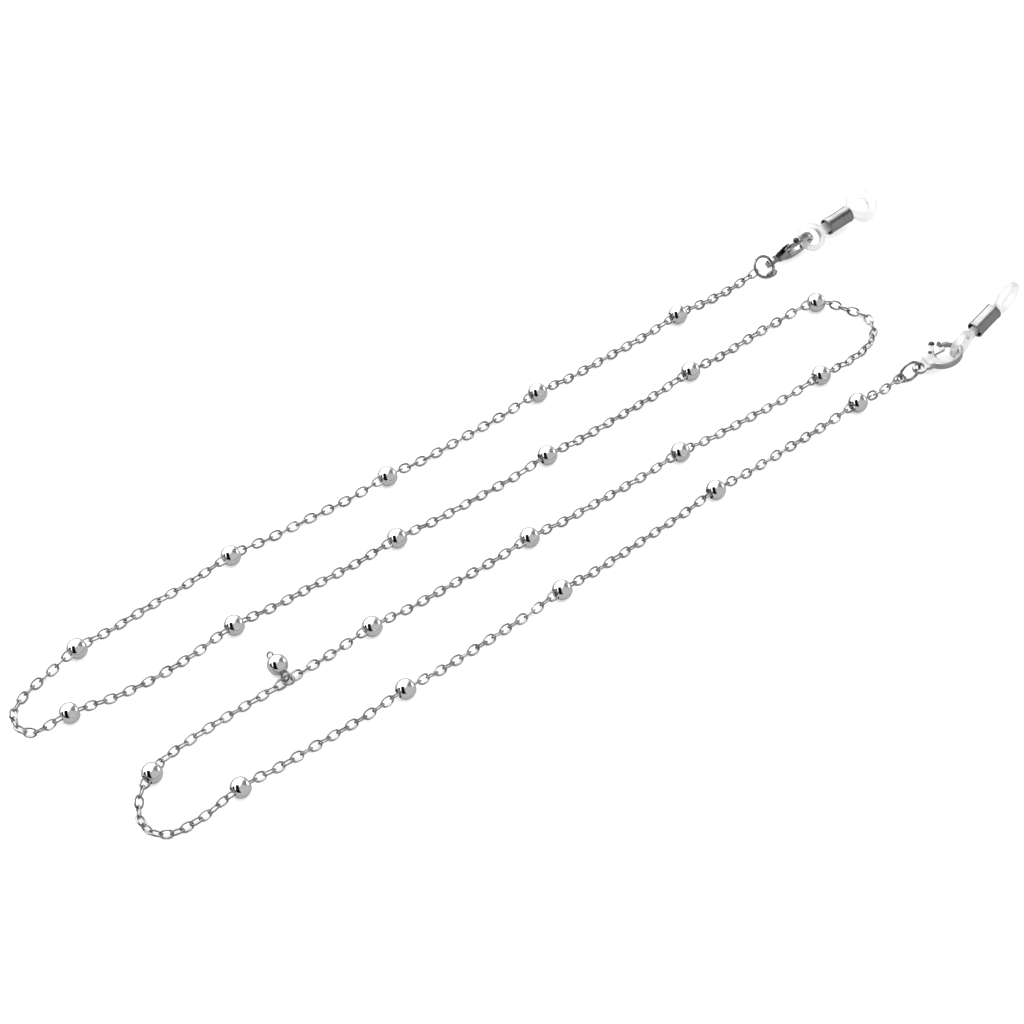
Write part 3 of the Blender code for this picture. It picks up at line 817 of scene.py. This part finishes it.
def outline_mesh(name, outlines, thickness, edge, matrix):
    """A flat outline with holes as a solid with rounded edges, in the frame of matrix."""
    curve = bpy.data.curves.new(name, "CURVE")
    curve.dimensions = "2D"
    curve.fill_mode = "BOTH"
    curve.extrude = thickness / 2 - edge
    curve.bevel_depth = edge
    curve.bevel_resolution = EDGE_STEPS
    curve.offset = -edge
    for outline in outlines:
        spline = curve.splines.new("POLY")
        spline.points.add(len(outline) - 1)
        for point, (x, y) in zip(spline.points, outline):
            point.co = (x, y, 0.0, 1.0)
        spline.use_cyclic_u = True
    helper = bpy.data.objects.new(name, curve)
    bpy.context.scene.collection.objects.link(helper)
    evaluated = helper.evaluated_get(bpy.context.evaluated_depsgraph_get())
    mesh = bpy.data.meshes.new_from_object(evaluated)
    bpy.data.objects.remove(helper)
    bpy.data.curves.remove(curve)
    mesh.name = name
    mesh.materials.clear()
    finish_mesh(mesh)
    mesh.transform(matrix)
    return mesh


def moved(mesh, matrix):
    """The same mesh, moved by matrix."""
    mesh.transform(matrix)
    return mesh


def box_object(name, low, high):
    """A box between two corners, at the scale that cuts are made at."""
    shape = bmesh.new()
    size = Vector(high) - Vector(low)
    middle = (Vector(high) + Vector(low)) / 2
    place = Matrix.Scale(CUT_SCALE, 4) @ Matrix.Translation(middle) @ Matrix.Diagonal((*size, 1.0))
    bmesh.ops.create_cube(shape, size=1.0, matrix=place)
    mesh = bpy.data.meshes.new(name)
    shape.to_mesh(mesh)
    shape.free()
    helper = bpy.data.objects.new(name, mesh)
    bpy.context.scene.collection.objects.link(helper)
    return helper


def cut_mesh(mesh, boxes):
    """The mesh with every (low, high) box taken out of it, cut at a larger scale for exactness."""
    mesh.transform(Matrix.Scale(CUT_SCALE, 4))
    helper = bpy.data.objects.new(mesh.name, mesh)
    bpy.context.scene.collection.objects.link(helper)
    cutters = [box_object(f"cutter_{index}", low, high) for index, (low, high) in enumerate(boxes)]
    for cutter in cutters:
        modifier = helper.modifiers.new(cutter.name, "BOOLEAN")
        modifier.operation = "DIFFERENCE"
        modifier.solver = "MANIFOLD"
        modifier.object = cutter
    bpy.context.view_layer.update()
    evaluated = helper.evaluated_get(bpy.context.evaluated_depsgraph_get())
    result = bpy.data.meshes.new_from_object(evaluated)
    for gone in (helper, *cutters):
        bpy.data.objects.remove(gone)
    result.materials.clear()
    result.transform(Matrix.Scale(1 / CUT_SCALE, 4))
    finish_mesh(result)
    return result


def clasp_body_mesh(name):
    """The clasp's cast body: a thinner eye tab, two cheeks for the gate, and the fixed jaw."""
    outline = arc(JAW_OUTER["centre"], JAW_OUTER["radii"], *JAW_OUTER["angles"])
    outline += arc((0.0, 0.0), (EYE_RADIUS, EYE_RADIUS), *EYE_ANGLES)
    outline += arc(PIVOT, (CHEEK_RADIUS, CHEEK_RADIUS), *CHEEK_ANGLES)
    outline += arc(JAW_INNER["centre"], JAW_INNER["radii"], *JAW_INNER["angles"])
    hole = circle((0.0, 0.0), EYE_HOLE_RADIUS)
    upright = Matrix.Rotation(math.radians(90), 4, "X")
    mesh = outline_mesh(name, [outline, hole], CLASP_THICKNESS, CLASP_EDGE, upright)
    slot_low = (SLOT_START, -SLOT_THICKNESS / 2, SLOT_FLOOR)
    slot_high = (SLOT_END, SLOT_THICKNESS / 2, JAW_OUTER["radii"][1] + CUT_MARGIN)
    boxes = [(slot_low, slot_high)]
    for side in (-1, 1):
        middle = side * (EYE_TAB_THICKNESS + CLASP_THICKNESS) / 2
        half = CLASP_THICKNESS / 2
        low = (-2 * EYE_RADIUS, middle - half, -2 * EYE_RADIUS)
        high = (EYE_TAB_END, middle + half, 2 * EYE_RADIUS)
        boxes.append((low, high))
    return cut_mesh(mesh, boxes)


def gate_mesh(name):
    """The gate: a hub with a bore for the pin, the arm that closes the jaw, and a thumb lever."""
    hub_x, hub_z = PIVOT
    arm_low = hub_z - GATE_HUB_RADIUS
    outline = arc(PIVOT, (GATE_HUB_RADIUS, GATE_HUB_RADIUS), *GATE_HUB_ANGLES)
    outline += [(GATE_TIP - GATE_TIP_CORNER, arm_low), (GATE_TIP, arm_low + GATE_TIP_CORNER)]
    outline += [(GATE_TIP, hub_z + GATE_TIP_RISE)]
    outline += [(hub_x + 2 * GATE_HUB_RADIUS, hub_z + GATE_HUB_RADIUS / 2)]
    outline += arc(KNOB, (KNOB_RADIUS, KNOB_RADIUS), *KNOB_ANGLES)
    hole = circle(PIVOT, PIN_RADIUS + PIN_CLEARANCE)
    upright = Matrix.Translation((0.0, GATE_OFFSET, 0.0)) @ Matrix.Rotation(math.radians(90), 4, "X")
    return outline_mesh(name, [outline, hole], GATE_THICKNESS, GATE_EDGE, upright)


def pin_profile():
    """Half section of a rivet through the cheeks, with a low domed head on each side."""
    half = CLASP_THICKNESS / 2
    dome = arc((half, 0.0), (PIN_HEAD_RISE, PIN_HEAD_RADIUS), 0, 90, ROLL_STEP)
    near = [(radius, distance) for distance, radius in dome]
    far = [(radius, -distance) for distance, radius in reversed(dome)]
    return near + [(PIN_RADIUS, half), (PIN_RADIUS, -half)] + far


def spring_points():
    """A coil of fine wire round the pin, with a leg along the gate's arm and one behind the pin."""
    hub_x, hub_z = PIVOT
    near_depth = SPRING_OFFSET - SPRING_HALF_DEPTH
    far_depth = SPRING_OFFSET + SPRING_HALF_DEPTH
    points = [Vector((hub_x + SPRING_FIRST_LEG[0], near_depth, hub_z + SPRING_FIRST_LEG[1]))]
    for index in range(SPRING_POINTS):
        angle = math.radians(SPRING_FIRST_ANGLE - SPRING_STEP_ANGLE * index)
        depth = near_depth + SPRING_STEP_DEPTH * index
        x = hub_x + SPRING_RADIUS * math.cos(angle)
        z = hub_z + SPRING_RADIUS * math.sin(angle)
        points.append(Vector((x, depth, z)))
    points.append(Vector((hub_x + SPRING_LAST_LEG[0], far_depth, hub_z + SPRING_LAST_LEG[1])))
    return points


def loop_outlines():
    """The silicone loop's outline and holes: small eye, neck and large eye."""
    upper = arc((SMALL_EYE["centre"], 0.0), (SMALL_EYE["outer"],) * 2, *SMALL_EYE["angles"])
    upper += [(NECK_START, NECK_HALF_WIDTH), (NECK_END, NECK_HALF_WIDTH)]
    upper += arc((LARGE_EYE["centre"], 0.0), (LARGE_EYE["outer"],) * 2, *LARGE_EYE["angles"])
    lower = [(x, -y) for x, y in reversed(upper[1:-1])]
    small_hole = circle((SMALL_EYE["centre"], 0.0), SMALL_EYE["hole"])
    large_hole = arc((LARGE_EYE["centre"], 0.0), (LARGE_EYE["hole"],) * 2, *LARGE_HOLE_ANGLES)
    large_hole.append((LARGE_HOLE_POINT, 0.0))
    return [upper + lower, small_hole, large_hole]


def sleeve_profile():
    """Half section of the sleeve: a thin tube, slightly thinner between its two rounded rims."""
    half = SLEEVE_LENGTH / 2
    wall = (SLEEVE_OUTER_RADIUS - SLEEVE_INNER_RADIUS) / 2
    middle = (SLEEVE_OUTER_RADIUS + SLEEVE_INNER_RADIUS) / 2
    groove_end = half - SLEEVE_RIM
    floor_end = half - SLEEVE_RIM - SLEEVE_STEP
    floor_radius = SLEEVE_OUTER_RADIUS - SLEEVE_STEP
    right = arc((half - wall, middle), (wall, wall), -90, 90, ROLL_STEP)
    left = arc((-half + wall, middle), (wall, wall), 90, 270, ROLL_STEP)
    groove = [(groove_end, SLEEVE_OUTER_RADIUS), (floor_end, floor_radius)]
    groove += [(-floor_end, floor_radius), (-groove_end, SLEEVE_OUTER_RADIUS)]
    return [(radius, distance) for distance, radius in right + groove + left]


def end_frames(end):
    """The frames of one end's jump ring, clasp and silicone loop."""
    lie = ENDS[end]
    ring = frame_at(layout_point(RING_POINTS[end], lie["ring_z"]), *lie["ring"])
    clasp = frame_at(ring @ Vector((END_RING_RADIUS, 0.0, 0.0)), *lie["clasp"])
    loop = frame_at(clasp @ Vector((LOOP_SEAT[0], 0.0, LOOP_SEAT[1])), *lie["loop"])
    return ring, clasp, loop


def ring_mesh(ring):
    """The jump ring, with its cut turned away from the clasp and the chain."""
    wire = split_ring(END_RING_RADIUS, END_RING_WIRE, END_RING_HALF_GAP)
    spin = Matrix.Rotation(math.radians(END_RING_GAP_AT), 4, "Z")
    return mesh_of("split_ring", placed(wire, ring @ spin))


def rivet_mesh(clasp):
    """The gate's pin, across the clasp at its pivot."""
    across = Matrix.Rotation(math.radians(90), 4, "Z")
    place = clasp @ Matrix.Translation((PIVOT[0], 0.0, PIVOT[1])) @ across
    return mesh_of("rivet", placed(turned(pin_profile(), SMALL_SIDES), place))


def knob_mesh(clasp):
    """The ball that the thumb presses, at the end of the gate's lever."""
    place = clasp @ Matrix.Translation((KNOB[0], GATE_OFFSET, KNOB[1]))
    ball = turned(plain_ball_profile(KNOB_BALL_RADIUS, KNOB_BALL_STEP), SMALL_SIDES)
    return mesh_of("thumb_knob", placed(ball, place))


def spring_mesh(clasp):
    """The gate's spring, beside the gate in the clasp's slot."""
    wire = swept(spring_points(), SPRING_WIRE, SPRING_SIDES, False)
    return mesh_of("coil_spring", placed(wire, clasp))


def sleeve_mesh(loop):
    """The sleeve round the loop's neck."""
    place = loop @ Matrix.Translation((SLEEVE_REST + SLEEVE_LENGTH / 2, 0.0, 0.0))
    return mesh_of("rolled_sleeve", placed(turned(sleeve_profile(), BALL_SIDES), place))


def make_end(end, materials):
    """One end's jump ring, clasp, silicone loop and sleeve."""
    ring, clasp, loop = end_frames(end)
    add_piece(f"thumb_knob_{end}", knob_mesh(clasp), materials["steel"], f"gate_{end}")
    pieces = (
        ("split_ring", ring_mesh(ring), "ring", "ring", "jump_ring"),
        ("cast_clasp", moved(clasp_body_mesh("cast_clasp"), clasp), "clasp", "clasp", "clasp_body"),
        ("cast_gate", moved(gate_mesh("cast_gate"), clasp), "clasp", "gate", "clasp_gate"),
        ("rivet", rivet_mesh(clasp), "steel", "clasp", "clasp_pin"),
        ("coil_spring", spring_mesh(clasp), "steel", "clasp", "clasp_spring"),
        ("rolled_sleeve", sleeve_mesh(loop), "sleeve", "sleeve", "sleeve"),
    )
    for name, mesh, finish, body, node in pieces:
        replaced = (f"{node}_{end}",)
        add_piece(f"{name}_{end}", mesh, materials[finish], f"{body}_{end}", replaced)
    soft = outline_mesh(f"soft_loop_{end}", loop_outlines(), LOOP_THICKNESS, LOOP_EDGE, loop)
    replaced = (f"silicone_loop_{end}",)
    add_piece(soft.name, soft, materials["silicone"], f"loop_{end}", replaced)


def make_small_link(end, materials):
    """The short oval link that hangs idle from each jump ring."""
    ring = end_frames(end)[0]
    shape = SMALL_LINK
    oval = closed_wire(shape["radii"], shape["wire"], shape["steps"], WIRE_SIDES, shape["squareness"])
    around, swing, lean = (math.radians(angle) for angle in SMALL_LINK_PLACES[end])
    place = ring @ Matrix.Rotation(around, 4, "Z") @ Matrix.Translation((END_RING_RADIUS, 0.0, 0.0))
    place = place @ Matrix.Rotation(swing, 4, "Z") @ Matrix.Rotation(lean, 4, "X")
    mesh = mesh_of(f"idle_link_{end}", placed(oval, place))
    add_piece(mesh.name, mesh, materials["link"], f"ring_{end}")


def make_join_ring(centre, materials):
    """The ring in the third row that carries the charm."""
    wire = split_ring(JOIN_RING_RADIUS, JOIN_RING_WIRE, JOIN_RING_HALF_GAP)
    mesh = mesh_of("small_ring", placed(wire, frame_at(centre, JOIN_RING_GAP_AT)))
    add_piece(mesh.name, mesh, materials["ring"], "third_row", ("joining_ring",))


def make_charm(centre, materials):
    """The ball charm beside the joining ring's centre, with a wire eye on each side."""
    hook = frame_at(centre + Vector((0.0, JOIN_RING_RADIUS, 0.0)), CHARM_HEADING)
    rise = BEAD_RADIUS - CHAIN_REST_HEIGHT
    ball = turned(plain_ball_profile(BEAD_RADIUS, BALL_STEP), BALL_SIDES)
    to_ball = hook @ Matrix.Translation((CHARM_BALL_REACH, 0.0, rise))
    ball_mesh = mesh_of("ball_charm", placed(ball, to_ball))
    add_piece("ball_charm", ball_mesh, materials["ball"], "charm", ("charm",))
    lean = Matrix.Rotation(math.radians(CHARM_EYE_LEAN), 4, "X")
    near_eye = closed_wire((CHARM_NEAR_EYE_RADIUS,) * 2, CHARM_EYE_WIRE, WIRE_STEPS, WIRE_SIDES)
    far_eye = closed_wire((CHARM_EYE_RADIUS,) * 2, CHARM_EYE_WIRE, WIRE_STEPS, WIRE_SIDES)
    to_far_eye = hook @ Matrix.Translation((CHARM_FAR_EYE_REACH, 0.0, rise)) @ lean
    eyes = joined([placed(near_eye, hook @ lean), placed(far_eye, to_far_eye)])
    add_piece("charm_eyes", mesh_of("charm_eyes", eyes), materials["ring"], "charm")


def main():
    """Builds the chain and its studio."""
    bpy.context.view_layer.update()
    make_camera()
    materials = make_materials()
    route = Route()
    make_chain(route, materials)
    make_beads(route, materials)
    for end in ENDS:
        make_end(end, materials)
        make_small_link(end, materials)
    join_centre = layout_point(JOIN_POINT, CHAIN_REST_HEIGHT)
    make_join_ring(join_centre, materials)
    make_charm(join_centre, materials)
    make_floor()
    make_studio()
    bpy.context.scene.view_settings.view_transform = "Standard"
    bpy.context.view_layer.update()


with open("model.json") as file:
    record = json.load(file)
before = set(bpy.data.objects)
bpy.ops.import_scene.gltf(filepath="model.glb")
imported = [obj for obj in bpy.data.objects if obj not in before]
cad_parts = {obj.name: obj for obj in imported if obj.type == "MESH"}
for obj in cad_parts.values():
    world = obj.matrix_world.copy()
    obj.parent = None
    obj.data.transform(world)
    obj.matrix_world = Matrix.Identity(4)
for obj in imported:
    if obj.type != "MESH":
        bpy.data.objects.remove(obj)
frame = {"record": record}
main()
